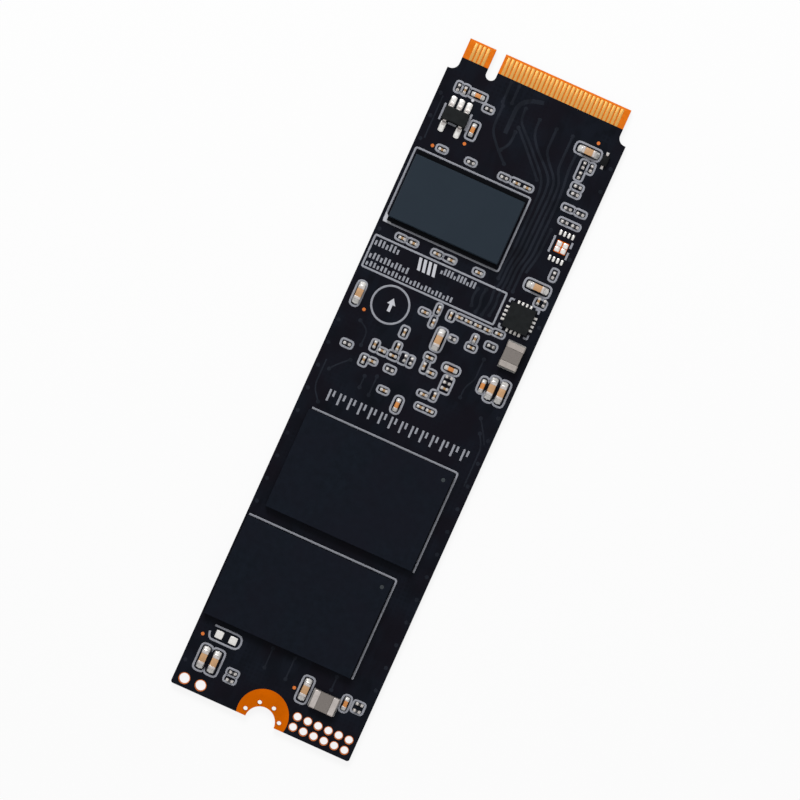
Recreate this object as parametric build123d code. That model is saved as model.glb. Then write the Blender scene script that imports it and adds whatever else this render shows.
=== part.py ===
from build123d import *

import math
import os

os.makedirs("parts", exist_ok=True)

# An M.2 solid-state drive, 22 mm wide and 80 mm long, keyed for the storage socket.
# All its chips are on one side. Millimetres. +Y runs along the board to the edge connector,
# +X is to the right seen from above, and +Z is up. The origin is under the middle of the board.

# Board
board_length = 80.0
board_width = 22.0
board_thickness = 0.8
board_corner_radius = 0.3
copper = 0.035  # thickness of a contact or pad, which lies flush with the solder mask
hole_sides = 12  # plated holes have flat sides, to keep their facets few
dot_sides = 8  # and so have vias, test points and dimples

# Places on the board are given on a grid drawn for a board of 22 by 80 mm, which spreads with the board
lane = board_width / 22
station = board_length / 80

# Edge connector: a narrow tab with a key notch and a row of contacts on each side
shoulder_width = 1.075  # on each side of the tab
contact_pitch = 0.5
contact_width = 0.35
contact_tip_gap = 0.25  # from the contacts' ends to the tip of the tab
tab_margin = 0.5  # from the outermost contact to the side of the tab, at least
tab_length = 4.0
tab_relief_radius = 0.9
tab_bevel_rise = 0.12
mask_setback = 2.35  # from the tip of the tab back to the solder mask
key_offset = 6.125  # left of the middle
key_width = 1.2
key_depth = 3.5
key_clearance = 1.0  # no contact's middle lies nearer than this to the key's

# Mounting end: a half-round screw seat in a copper pad that is stitched through by four vias
screw_radius = 1.75
pad_radius = 3.0
pad_setback = 0.8  # from the end of the board to the pad's centre
via_radius = 0.26
via_plating = 0.05
via_circle_radius = 2.2
via_step_angle = 46.7
via_count = 4

# Plated holes beside the screw seat
header_columns = 6
header_rows = 2
header_pitch = 1.27
header_hole_radius = 0.43
header_ring_radius = 0.54
header_middle = (6.86, -38.36)
supply_pitch = 2.0
supply_hole_radius = 0.58
supply_ring_radius = 0.7
supply_middle = (-8.73, -38.98)

# Controller: a moulded cap on a substrate that shows as a ledge along its two long sides
controller_middle = (-3.43, 21.73)
controller_length = 13.45
controller_depth = 8.65
controller_cap_depth = 7.75
controller_substrate_thickness = 0.3
controller_cap_height = 0.7
controller_cap_draft = 6
controller_ball_pitch = 1.0

# Flash memory: two sawn packages of 18 by 12 mm
flash_a_middle = (-0.38, -11.5)
flash_b_middle = (-1.72, -25.3)
flash_length = 18.0
flash_depth = 12.0
flash_substrate_thickness = 0.2
flash_mould_height = 0.65
flash_ball_pitch = 1.0
flash_dimple_radius = 0.28
flash_dimple_depth = 0.04
flash_dimple_inset = (0.95, 1.15)  # from the package's right and upper sides

# Solder balls under the packages, of which the outermost ring can be seen from the side
ball_height = 0.25
ball_radius = 0.2
ball_edge_gap = 0.7  # from the outermost balls' middles to the side of the package, at least
ball_sides = 4

# Voltage regulator with five gull-wing leads
regulator_middle = (-7.87, 31.2)
regulator_length = 2.9
regulator_depth = 1.6
regulator_height = 1.0
regulator_standoff = 0.1
regulator_draft = 7
lead_pitch = 0.95
lead_width = 0.4
lead_thickness = 0.15
lead_span = 2.9
lead_foot = 0.4
lead_exit_height = 0.55
lead_bend_radius = 0.1
toe_reach = 0.65  # how far the solder runs on past a lead's toe
toe_margin = 0.07  # how much wider than the lead it is, on each side

# Power manager in a leadless package of sixteen pads
power_middle = (8.0, 13.4)
power_side = 3.0
power_height = 0.75
power_pads_a_side = 4
power_pad_pitch = 0.5
power_pad_width = 0.25
power_pad_height = 0.2
power_pad_depth = 0.35
power_pad_reach = 0.03  # how far a pad stands out of the moulding
power_pad_solder = 0.4

# Two power inductors
inductor_length = 2.95
inductor_depth = 2.2
inductor_height = 1.2
inductor_end = 0.7
inductor_step = 0.05  # how far the plated ends stand out beyond the core
inductor_chamfer = 0.12
inductor_solder = 0.15
inductor_solder_climb = 0.5
inductor_places = [(9.0, 9.2, 90), (5.75, -35.0, 0)]

# Chip capacitors and resistors: length, depth, height and the length of a plated end
large_chip = (1.6, 0.8, 0.8, 0.35)
medium_chip = (1.0, 0.5, 0.5, 0.25)
small_chip = (0.6, 0.3, 0.3, 0.16)
chip_step = 0.02  # how far a plated end stands out beyond the body
large_solder = 0.4  # how far the solder reaches past a chip's end
medium_solder = 0.28
solder_climb = 0.75  # share of the chip's height that the solder climbs
solder_waist = 0.3  # share of its reach and of its climb at which the fillet turns upwards

# Places are x, y and the turn in degrees: 0 lies across the board and 90 along it
large_capacitor_places = [
    (7.45, 33.75, 0),
    (8.5, 17.42, 0),
    (-9.6, 8.7, 90),
    (0.7, 7.5, 90),
    (8.4, 4.95, 90),
    (9.6, 4.95, 90),
    (3.2, -34.55, 90),
    (-8.75, -35.95, 90),
    (-7.4, -35.95, 90),
]
medium_capacitor_places = [
    (-6.5, 34.38, 0),
    (-5.5, 30.62, 90),
    (3.35, 5.05, 0),
    (7.35, 4.8, 90),
    (-0.55, -1.1, 90),
    (8.0, -34.15, 90),
]
small_capacitor_places = [
    (-8.1, 34.35, 90),
    (-7.7, 27.2, 0),
    (1.5, 27.2, 0),
    (2.8, 27.2, 0),
    (-7.7, 16.27, 0),
    (-6.3, 16.27, 0),
    (-3.4, 16.27, 0),
    (-1.65, 16.27, 0),
    (1.75, 16.27, 0),
    (9.2, 16.1, 90),
    (-1.95, 9.72, 0),
    (-0.62, 10.65, 90),
    (-0.62, 9.02, 90),
    (-3.12, 6.7, 90),
    (-3.12, 4.9, 90),
    (-5.6, 4.12, 90),
    (-4.58, 3.78, 0),
    (-3.22, 3.78, 0),
    (-6.05, 2.02, 90),
    (-5.12, 2.25, 0),
    (-2.55, -0.2, 0),
    (0.62, 5.27, 0),
    (0.45, 4.15, 90),
    (1.42, 3.75, 0),
    (0.85, 10.58, 90),
    (1.82, 10.78, 0),
    (2.95, 10.78, 0),
    (4.1, 10.78, 0),
    (5.3, 10.78, 0),
    (6.65, 10.9, 0),
    (4.42, 9.28, 90),
    (4.4, 8.22, 0),
    (3.58, 2.78, 0),
    (2.88, 1.55, 90),
    (1.72, 1.2, 0),
    (1.98, -0.22, 0),
    (3.1, -0.22, 0),
]
small_resistor_places = [
    (-8.9, 34.35, 90),
    (-4.75, 33.5, 0),
    (7.58, 32.15, 90),
    (7.58, 30.93, 90),
    (8.5, 32.15, 90),
    (7.95, 29.65, 0),
    (8.0, 28.75, 0),
    (-4.15, 27.2, 0),
    (-0.05, 27.2, 0),
    (7.95, 26.95, 0),
    (9.47, 26.95, 0),
    (8.22, 25.42, 0),
    (9.5, 25.42, 0),
    (9.55, 19.45, 90),
    (9.9, 16.1, 90),
    (2.07, 8.27, 0),
    (6.42, 9.27, 0),
    (-1.86, 4.07, 90),
    (-1.08, 4.07, 90),
    (3.58, 4.12, 0),
    (3.58, 3.46, 0),
    (-2.9, 2.2, 0),
    (-8.5, 2.9, 0),
    (-4.97, -36.22, 0),
    (-4.97, -37.15, 0),
    (9.5, -33.6, 0),
    (9.5, -34.4, 0),
]

# Diode with a flat lead at each end
diode_middle = (9.5, 33.58)
diode_length = 1.2
diode_depth = 0.75
diode_height = 0.6
diode_lead_reach = 0.25
diode_lead_width = 0.3
diode_lead_thickness = 0.12

# Pads that carry nothing
spare_pad_middle = (-7.3, -32.9)
spare_pad_pitch = 1.68
spare_pad_side = 0.85
blank_middle = (9.05, 22.67)
blank_pads_a_side = 4
blank_pad_pitch = 0.5
blank_pad_width = 0.3
blank_pad_length = 0.6
blank_row_spacing = 3.1
blank_centre_side = 1.4
blank_centre_gap = 0.2  # the bare cross between its four fields of solder
blank_centre_rim = 0.06
solder_coat = 0.06
test_point_radius = 0.23
test_point_places = [
    (-5.7, 28.85),
    (8.05, 35.1),
    (-8.9, 27.2),
    (-8.35, 7.2),
    (-9.9, -33.55),
    (2.0, -34.88),
]

half_length = board_length / 2
half_width = board_width / 2
tab_width = board_width - 2 * shoulder_width
contact_span = tab_width - 2 * tab_margin - contact_width
bottom_positions = int(contact_span / contact_pitch + 0.01) + 1
top_positions = bottom_positions - 1  # the two rows are staggered by half a pitch
shoulder_y = half_length - tab_length
mask_end_y = half_length - mask_setback
contact_tip_y = half_length - contact_tip_gap
key_x = -key_offset
screw_y = -half_length
pad_y = screw_y + pad_setback


def on_board(shape, x, y, turn=0):
    """A shape that stands on z = 0, at its place on the top face of the board."""
    return Pos(x * lane, y * station, board_thickness) * Rot(0, 0, turn) * shape


def standing_box(length, depth, height, x=0, y=0, z=0):
    """A box that stands on z, with its middle over x and y."""
    return Pos(x, y, z + height / 2) * Box(length, depth, height)


def disc(radius, height, x=0, y=0, z=0):
    return Pos(x, y, z + height / 2) * Cylinder(radius, height)


def flat_sided(sides, radius, height, x=0, y=0, z=0):
    """A narrow disc drawn with flat sides that touch its circle from outside."""
    polygon = RegularPolygon(radius, sides, major_radius=False)
    return Pos(x, y, z) * extrude(polygon, height)


def side_profile():
    """The board from the side: full thickness up to the mask's end, then the bare, bevelled tab."""
    bottom, top = copper, board_thickness - copper
    return Polyline(
        (-half_length, 0),
        (mask_end_y, 0),
        (mask_end_y, bottom),
        (contact_tip_y, bottom),
        (half_length, bottom + tab_bevel_rise),
        (half_length, top - tab_bevel_rise),
        (contact_tip_y, top),
        (mask_end_y, top),
        (mask_end_y, board_thickness),
        (-half_length, board_thickness),
        close=True,
    )


def board_outline():
    """The board seen from above, with the relieved shoulders of the tab and the key notch."""
    body = Pos(0, (shoulder_y - half_length) / 2) * Rectangle(board_width, shoulder_y + half_length)
    end_corners = body.vertices().group_by(Axis.Y)[0]
    body = fillet(end_corners, board_corner_radius)
    tab = Pos(0, shoulder_y) * Rectangle(tab_width, 2 * tab_length)
    outline = body + tab
    shoulder = outline.vertices().group_by(lambda v: round(abs(v.Y - shoulder_y), 3))[0]
    inner = [corner for corner in shoulder if abs(corner.X) < half_width - shoulder_width / 2]
    outline = fillet(inner, min(tab_relief_radius, 0.9 * shoulder_width))
    notch_end = half_length - key_depth + key_width / 2
    notch = Pos(key_x, notch_end) * Circle(key_width / 2)
    notch += Pos(key_x, notch_end + key_depth / 2) * Rectangle(key_width, key_depth)
    return outline - notch


def laminate():
    """The board before its pads and holes are cut."""
    slab = extrude(board_outline(), board_thickness)
    return slab & extrude(Plane.YZ * make_face(side_profile()), board_width, both=True)


def via_places():
    """The vias' places on their circle round the screw seat."""
    first = 90 - via_step_angle * (via_count - 1) / 2
    angles = [math.radians(first + i * via_step_angle) for i in range(via_count)]
    return [(via_circle_radius * math.cos(a), screw_y + via_circle_radius * math.sin(a)) for a in angles]


def header_places():
    x, y = header_middle[0] * lane, header_middle[1] * station
    across = [(i - (header_columns - 1) / 2) * header_pitch for i in range(header_columns)]
    along = [(j - (header_rows - 1) / 2) * header_pitch for j in range(header_rows)]
    return [(x + dx, y + dy) for dy in along for dx in across]


def supply_places():
    x, y = supply_middle[0] * lane, supply_middle[1] * station
    return [(x - supply_pitch / 2, y), (x + supply_pitch / 2, y)]


def mounting_pad():
    """Copper on both faces, joined by the barrels of the vias. The wall of the screw seat is bare."""
    pad = disc(pad_radius, copper, 0, pad_y)
    pad += disc(pad_radius, copper, 0, pad_y, board_thickness - copper)
    for x, y in via_places():
        pad += flat_sided(dot_sides, via_radius + via_plating, board_thickness, x, y)
    pad -= disc(screw_radius, board_thickness, 0, screw_y)
    for x, y in via_places():
        pad -= flat_sided(dot_sides, via_radius, board_thickness, x, y)
    beyond_end = standing_box(4 * pad_radius, 2 * pad_radius, board_thickness, 0, -half_length - pad_radius)
    return pad - beyond_end


def header_sleeves():
    """Copper sleeves that line the header's holes and show as a ring round each."""
    sleeve = flat_sided(hole_sides, header_ring_radius, board_thickness)
    sleeve -= flat_sided(hole_sides, header_hole_radius, board_thickness)
    return [Pos(x, y, 0) * sleeve for x, y in header_places()]


def supply_sleeves():
    sleeve = flat_sided(hole_sides, supply_ring_radius, board_thickness)
    sleeve -= flat_sided(hole_sides, supply_hole_radius, board_thickness)
    return [Pos(x, y, 0) * sleeve for x, y in supply_places()]


def test_points():
    z = board_thickness - copper
    return [
        flat_sided(dot_sides, test_point_radius, copper, x * lane, y * station, z)
        for x, y in test_point_places
    ]


def circuit_board(inlays):
    """The laminate, cut for everything that is let into it."""
    board = laminate()
    board -= disc(screw_radius, board_thickness, 0, screw_y)
    for x, y in via_places():
        board -= flat_sided(dot_sides, via_radius, board_thickness, x, y)
    for x, y in header_places():
        board -= flat_sided(hole_sides, header_ring_radius, board_thickness, x, y)
    for x, y in supply_places():
        board -= flat_sided(hole_sides, supply_ring_radius, board_thickness, x, y)
    for inlay in inlays:
        board -= inlay
    return board


def contact_places(positions):
    """The middles of one side's contacts: evenly pitched, with none over the key."""
    xs = [(i - (positions - 1) / 2) * contact_pitch for i in range(positions)]
    return [x for x in xs if abs(x - key_x) > key_clearance]


def contacts(positions, z):
    length = contact_tip_y - mask_end_y
    y = (contact_tip_y + mask_end_y) / 2
    return [standing_box(contact_width, length, copper, x, y, z) for x in contact_places(positions)]


def ring_of_balls(length, depth, pitch):
    """The outermost ring of a package's solder balls."""
    columns = int((length - 2 * ball_edge_gap) / pitch) + 1
    rows = int((depth - 2 * ball_edge_gap) / pitch) + 1
    ball = flat_sided(ball_sides, ball_radius, ball_height)
    balls = []
    for i in range(columns):
        for j in range(rows):
            if i in (0, columns - 1) or j in (0, rows - 1):
                balls.append(Pos((i - (columns - 1) / 2) * pitch, (j - (rows - 1) / 2) * pitch, 0) * ball)
    return balls


def controller():
    """Solder balls, substrate and moulded cap, standing on z = 0."""
    balls = ring_of_balls(controller_length, controller_depth, controller_ball_pitch)
    thickness = controller_substrate_thickness
    substrate = standing_box(controller_length, controller_depth, thickness, z=ball_height)
    footprint = Rectangle(controller_length, controller_cap_depth)
    cap = extrude(footprint, controller_cap_height, taper=controller_cap_draft)
    return balls, substrate, Pos(0, 0, ball_height + thickness) * cap


def flash():
    """Solder balls, substrate and mould of one memory package, standing on z = 0."""
    balls = ring_of_balls(flash_length, flash_depth, flash_ball_pitch)
    substrate = standing_box(flash_length, flash_depth, flash_substrate_thickness, z=ball_height)
    mould_z = ball_height + flash_substrate_thickness
    mould = standing_box(flash_length, flash_depth, flash_mould_height, z=mould_z)
    x = flash_length / 2 - flash_dimple_inset[0]
    y = flash_depth / 2 - flash_dimple_inset[1]
    dimple_z = mould_z + flash_mould_height - flash_dimple_depth
    mould -= flat_sided(dot_sides, flash_dimple_radius, flash_dimple_depth, x, y, dimple_z)
    return balls, substrate, mould


def moulded_body(length, depth, height, split, draft):
    """A small moulded package that narrows upwards and downwards from its parting line."""
    plan = Rectangle(length, depth)
    upper = extrude(Pos(0, 0, split) * plan, height - split, taper=draft)
    lower = extrude(Pos(0, 0, split) * plan, -split, taper=draft)
    return upper + lower


def gull_wing():
    """A lead that leaves the body at y = 0 towards +Y, steps down and ends in a flat foot on z = 0."""
    reach = (lead_span - regulator_depth) / 2
    knee = reach - lead_foot
    shoulder = knee - lead_bend_radius
    sole = lead_thickness / 2
    points = [(0, lead_exit_height), (shoulder, lead_exit_height), (knee, sole), (reach, sole)]
    path = FilletPolyline(*points, radius=lead_bend_radius)
    return extrude(Plane.YZ * trace(path, lead_thickness), lead_width / 2, both=True)


def regulator():
    """A small moulded body with three leads on one side and two on the other."""
    height = regulator_height - regulator_standoff
    split = lead_exit_height - regulator_standoff
    body = Pos(0, 0, regulator_standoff) * moulded_body(
        regulator_length, regulator_depth, height, split, regulator_draft
    )
    lead = Pos(0, regulator_depth / 2, 0) * gull_wing()
    upper = [Pos(i * lead_pitch, 0, 0) * lead for i in (-1, 0, 1)]
    lower = [Rot(0, 0, 180) * Pos(i * lead_pitch, 0, 0) * lead for i in (-1, 1)]
    return body, upper + lower


def four_sides(shapes):
    """Copies of shapes on the +Y side, turned to all four sides."""
    return [Rot(0, 0, 90 * k) * shape for k in range(4) for shape in shapes]


def power_manager():
    """A leadless body and the pads let into its lower edges."""
    y = power_side / 2 + power_pad_reach - power_pad_depth / 2
    middle = (power_pads_a_side - 1) / 2
    row = [
        standing_box(power_pad_width, power_pad_depth, power_pad_height, (i - middle) * power_pad_pitch, y)
        for i in range(power_pads_a_side)
    ]
    pads = four_sides(row)
    body = standing_box(power_side, power_side, power_height)
    for pad in pads:
        body -= pad
    return body, pads


def chamfered(box, size, axis):
    """A box with its edges along one axis chamfered."""
    return chamfer(box.edges().filter_by(axis), size)


def inductor():
    """A moulded core between two plated ends that wrap a little over it."""
    core_length = inductor_length - 2 * inductor_end
    core = standing_box(core_length, inductor_depth - 2 * inductor_step, inductor_height - inductor_step)
    x = (inductor_length - inductor_end) / 2
    end = chamfered(standing_box(inductor_end, inductor_depth, inductor_height), inductor_chamfer, Axis.X)
    return core, [Pos(-x, 0, 0) * end, Pos(x, 0, 0) * end]


def chip(size):
    """The body and the two plated ends of a chip capacitor or resistor, standing on z = 0."""
    length, depth, height, end_length = size
    body = standing_box(length - 2 * end_length, depth - 2 * chip_step, height - chip_step)
    x = (length - end_length) / 2
    return body, [standing_box(end_length, depth, height, sign * x) for sign in (-1, 1)]


def solder_fillet(depth, climb, reach):
    """Solder that climbs a wall at x = 0 from a pad on its +X side."""
    waist = (reach * solder_waist, climb * solder_waist)
    face = make_face(Polyline((0, 0), (reach, 0), waist, (0, climb), close=True))
    return extrude(Plane.XZ * face, depth / 2, both=True)


def end_solder(length, depth, climb, reach):
    """The solder at both ends of a part that lies along X."""
    joint = Pos(length / 2, 0, 0) * solder_fillet(depth, climb, reach)
    return [joint, Rot(0, 0, 180) * joint]


def chip_solder(size, reach):
    length, depth, height, _ = size
    return end_solder(length, depth, solder_climb * height, reach)


def toe_solder():
    """Solder in front of the regulator's feet and the power manager's pads, each in its own frame."""
    toe = Pos(lead_span / 2, 0, 0) * solder_fillet(lead_width + 2 * toe_margin, lead_thickness, toe_reach)
    upper = [Pos(i * lead_pitch, 0, 0) * Rot(0, 0, 90) * toe for i in (-1, 0, 1)]
    lower = [Rot(0, 0, 180) * Pos(i * lead_pitch, 0, 0) * Rot(0, 0, 90) * toe for i in (-1, 1)]
    side = power_side / 2 + power_pad_reach
    fillet_of_pad = solder_fillet(power_pad_width, power_pad_height, power_pad_solder)
    pad = Pos(0, side, 0) * Rot(0, 0, 90) * fillet_of_pad
    middle = (power_pads_a_side - 1) / 2
    row = [Pos((i - middle) * power_pad_pitch, 0, 0) * pad for i in range(power_pads_a_side)]
    return upper + lower, four_sides(row)


def diode():
    """A black body with a flat lead at each end, lying along X."""
    body = standing_box(diode_length, diode_depth, diode_height)
    x = (diode_length + diode_lead_reach) / 2
    lead = standing_box(diode_lead_reach, diode_lead_width, diode_lead_thickness)
    return body, [Pos(-x, 0, 0) * lead, Pos(x, 0, 0) * lead]


def blank_footprint():
    """The bare pads of a part left off: two rows, and a centre pad with four fields of solder."""
    middle = (blank_pads_a_side - 1) / 2
    xs = [(i - middle) * blank_pad_pitch for i in range(blank_pads_a_side)]
    ys = [-blank_row_spacing / 2, blank_row_spacing / 2]
    rows = [standing_box(blank_pad_width, blank_pad_length, solder_coat, x, y) for y in ys for x in xs]
    centre = standing_box(blank_centre_side, blank_centre_side, copper, z=-copper)
    side = (blank_centre_side - blank_centre_gap) / 2 - blank_centre_rim
    shift = (side + blank_centre_gap) / 2
    fields = [standing_box(side, side, solder_coat, i * shift, j * shift) for i in (-1, 1) for j in (-1, 1)]
    return rows, centre, fields


def export(name, solids):
    """One file for each node, with its solids kept apart."""
    shapes = solids if isinstance(solids, list) else [solids]
    pieces = [solid for shape in shapes for solid in shape.solids()]
    export_step(Compound(children=pieces), f"parts/{name}.step")


def all_on_board(shapes, place):
    return [on_board(shape, *place) for shape in shapes]


def export_bare_board():
    pad = mounting_pad()
    points = test_points()
    rows, centre, fields = blank_footprint()
    centre = on_board(centre, *blank_middle)
    export("circuit_board", circuit_board([pad, centre] + points))
    export("mounting_pad", pad)
    export("edge_contacts_top", contacts(top_positions, board_thickness - copper))
    export("edge_contacts_bottom", contacts(bottom_positions, 0))
    export("header_sleeves", header_sleeves())
    export("supply_sleeves", supply_sleeves())
    export("test_points", points)
    export("blank_footprint_pads", all_on_board(rows, blank_middle))
    export("blank_centre_pad", centre)
    export("blank_centre_solder", all_on_board(fields, blank_middle))
    pad = standing_box(spare_pad_side, spare_pad_side, solder_coat)
    pair = [Pos(sign * spare_pad_pitch / 2, 0, 0) * pad for sign in (-1, 1)]
    export("spare_pads", all_on_board(pair, spare_pad_middle))


def export_package(name, parts, place, top_name):
    balls, substrate, top = parts
    export(f"{name}_balls", all_on_board(balls, place))
    export(f"{name}_substrate", on_board(substrate, *place))
    export(f"{name}_{top_name}", on_board(top, *place))


def export_small_parts():
    """Everything soldered beside the large packages. All the solder is one node of separate joints."""
    regulator_solder, power_solder = toe_solder()
    solder = all_on_board(regulator_solder, regulator_middle) + all_on_board(power_solder, power_middle)
    body, leads = regulator()
    export("regulator_body", on_board(body, *regulator_middle))
    export("regulator_leads", all_on_board(leads, regulator_middle))
    body, pads = power_manager()
    export("power_manager_body", on_board(body, *power_middle))
    export("power_manager_pads", all_on_board(pads, power_middle))
    core, ends = inductor()
    joints = end_solder(inductor_length, inductor_depth, inductor_solder_climb, inductor_solder)
    for letter, place in zip("ab", inductor_places):
        export(f"inductor_{letter}_core", on_board(core, *place))
        export(f"inductor_{letter}_ends", all_on_board(ends, place))
        solder += all_on_board(joints, place)
    groups = [
        ("large_capacitor", large_chip, large_capacitor_places, chip_solder(large_chip, large_solder)),
        ("medium_capacitor", medium_chip, medium_capacitor_places, chip_solder(medium_chip, medium_solder)),
        ("small_capacitor", small_chip, small_capacitor_places, []),
        ("small_resistor", small_chip, small_resistor_places, []),
    ]
    for name, size, places, joints in groups:
        body, ends = chip(size)
        export(f"{name}_bodies", [on_board(body, *place) for place in places])
        export(f"{name}_ends", [on_board(end, *place) for place in places for end in ends])
        solder += [on_board(joint, *place) for place in places for joint in joints]
    body, leads = diode()
    export("diode_body", on_board(body, *diode_middle, 90))
    export("diode_leads", all_on_board(leads, (*diode_middle, 90)))
    export("solder_joints", solder)


if __name__ == "__main__":
    export_bare_board()
    export_package("controller", controller(), controller_middle, "cap")
    export_package("flash_a", flash(), flash_a_middle, "mould")
    export_package("flash_b", flash(), flash_b_middle, "mould")
    export_small_parts()
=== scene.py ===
import math

import bmesh
import bpy
from mathutils import Matrix, Vector


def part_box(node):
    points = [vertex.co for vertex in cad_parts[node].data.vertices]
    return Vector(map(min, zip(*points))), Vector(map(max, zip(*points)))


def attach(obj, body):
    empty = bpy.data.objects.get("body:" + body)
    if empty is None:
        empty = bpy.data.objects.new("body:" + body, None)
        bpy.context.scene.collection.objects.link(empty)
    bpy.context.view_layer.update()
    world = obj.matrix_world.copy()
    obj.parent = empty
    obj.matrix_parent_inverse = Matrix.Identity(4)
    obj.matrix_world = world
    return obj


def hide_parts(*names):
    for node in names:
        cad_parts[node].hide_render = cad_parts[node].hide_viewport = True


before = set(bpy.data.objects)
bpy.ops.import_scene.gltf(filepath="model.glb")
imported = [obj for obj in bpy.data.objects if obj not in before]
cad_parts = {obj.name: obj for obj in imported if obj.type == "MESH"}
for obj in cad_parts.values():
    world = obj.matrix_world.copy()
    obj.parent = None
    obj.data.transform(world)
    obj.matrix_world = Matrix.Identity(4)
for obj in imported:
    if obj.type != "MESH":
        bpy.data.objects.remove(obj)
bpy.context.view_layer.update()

bl_info = {
    "name": "Solid-state drive",
    "version": (1, 0, 0),
    "blender": (4, 5, 0),
    "location": "3D View > Sidebar > Drive",
    "description": "Dresses the packed model of an M.2 solid-state drive and sets it on a pale floor",
    "category": "Add Mesh",
}

# Shapes are made in millimetres and brought to metres when a piece is finished
MM = 0.001


def tone(red, green, blue):
    """A linear colour from one given as it looks on a screen, from 0 to 255."""
    parts = [c / 255 for c in (red, green, blue)]
    return tuple(c / 12.92 if c < 0.04 else ((c + 0.055) / 1.055) ** 2.4 for c in parts)


def box(node):
    """A node's lowest and highest corners in millimetres."""
    low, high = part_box(node)
    return low / MM, high / MM


def middle(node):
    low, high = box(node)
    return (low + high) / 2


def size(node):
    low, high = box(node)
    return high - low


board_low, board_high = box("circuit_board")
board_top = board_high.z
half_width, half_length = board_high.x, board_high.y


def merged(node):
    """A copy of a node's mesh in millimetres, with its loose triangles joined."""
    bm = bmesh.new()
    bm.from_mesh(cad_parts[node].data)
    bmesh.ops.scale(bm, vec=(1 / MM,) * 3, verts=bm.verts)
    bmesh.ops.remove_doubles(bm, verts=bm.verts, dist=0.001)
    return bm


def solids(node):
    """The lowest and highest corners, in millimetres, of each solid of a node."""
    bm = merged(node)
    seen, found = set(), []
    for start in bm.verts:
        if start in seen:
            continue
        seen.add(start)
        island, queue = [], [start]
        while queue:
            vert = queue.pop()
            island.append(vert.co)
            fresh = [edge.other_vert(vert) for edge in vert.link_edges]
            fresh = [other for other in fresh if other not in seen]
            seen.update(fresh)
            queue.extend(fresh)
        found.append((Vector(map(min, *island)), Vector(map(max, *island))))
    bm.free()
    return found


def centres(node):
    """The middle of each solid of a node."""
    return [(low + high) / 2 for low, high in solids(node)]


def unit(node):
    """The size of a node's first solid."""
    low, high = solids(node)[0]
    return high - low


def chips(kind):
    """Each chip of a kind: x, y, turn in degrees, length, depth and height."""
    ends = [((low + high) / 2, high - low) for low, high in solids(f"{kind}_ends")]
    found = []
    for low, high in solids(f"{kind}_bodies"):
        centre = (low + high) / 2
        first, second = sorted(ends, key=lambda end: (end[0] - centre).length)[:2]
        apart = first[0] - second[0]
        flat = abs(apart.x) > abs(apart.y)
        along, across = (first[1].x, first[1].y) if flat else (first[1].y, first[1].x)
        found.append((centre.x, centre.y, 0 if flat else 90, apart.length + along, across, first[1].z))
    return found


# Shapes


def verts_of(geometry):
    return [item for item in geometry if isinstance(item, bmesh.types.BMVert)]


def rounded_box(length, depth, height, radius, segments=2):
    """A box with rounded edges that stands on z = 0."""
    bm = bmesh.new()
    bmesh.ops.create_cube(bm, size=1)
    bmesh.ops.scale(bm, vec=(length, depth, height), verts=bm.verts)
    bmesh.ops.translate(bm, vec=(0, 0, height / 2), verts=bm.verts)
    round_edges(bm, bm.edges[:], radius, segments)
    return bm


def round_edges(bm, edges, radius, segments=2):
    bmesh.ops.bevel(
        bm, geom=edges, offset=radius, offset_type="OFFSET", affect="EDGES", segments=segments, profile=0.5,
        material=-1, clamp_overlap=True,
    )


def turned(profile, steps=32):
    """A ring or disc made by spinning a closed profile of radii and heights about the Z axis."""
    bm = bmesh.new()
    verts = [bm.verts.new((radius, 0, z)) for radius, z in profile]
    edges = [bm.edges.new((verts[i - 1], verts[i])) for i in range(len(verts))]
    bmesh.ops.spin(
        bm, geom=verts + edges, cent=(0, 0, 0), axis=(0, 0, 1), angle=math.tau, steps=steps, use_merge=True
    )
    bmesh.ops.remove_doubles(bm, verts=bm.verts, dist=0.0005)
    return bm


def tube(inner, outer, low, high, rim):
    """A tube with softened rims, standing along Z."""
    return turned([
        (inner, low + rim), (inner + rim, low), (outer - rim, low), (outer, low + rim),
        (outer, high - rim), (outer - rim, high), (inner + rim, high), (inner, high - rim),
    ])


def button(radius, low, high, rim):
    """A flat round button with a softened rim."""
    bm = bmesh.new()
    bmesh.ops.create_cone(bm, cap_ends=True, segments=24, radius1=radius, radius2=radius, depth=high - low)
    bmesh.ops.translate(bm, vec=(0, 0, (low + high) / 2), verts=bm.verts)
    round_edges(bm, [edge for edge in bm.edges if edge.calc_face_angle(0) > 1], rim, 1)
    return bm


def mound(length, depth, height_at, steps=8, roundness=0.0):
    """A closed lump on z = 0. Its height is a function of u and v, which run from -1 to 1 over its foot.

    The roundness of its plan goes from 0, square, to 1, an ellipse.
    """
    bm = bmesh.new()
    bmesh.ops.create_grid(bm, x_segments=steps, y_segments=steps, size=1)
    grown = bmesh.ops.extrude_face_region(bm, geom=bm.faces[:], use_keep_orig=True)["geom"]
    for vert in verts_of(grown):
        vert.co.z = height_at(vert.co.x, vert.co.y)
    for vert in bm.verts:
        u, v = vert.co.x, vert.co.y
        vert.co.x = u * math.sqrt(1 - roundness * v * v / 2) * length / 2
        vert.co.y = v * math.sqrt(1 - roundness * u * u / 2) * depth / 2
    bmesh.ops.recalc_face_normals(bm, faces=bm.faces)
    return bm


def pillow(length, depth, height, roundness=0.25):
    """Solder that has run out over a pad and stands in a low dome."""

    def height_at(u, v):
        return height * (0.5 + 0.5 * (1 - u**4) * (1 - v**4))

    return mound(length, depth, height_at, roundness=roundness)


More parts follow.
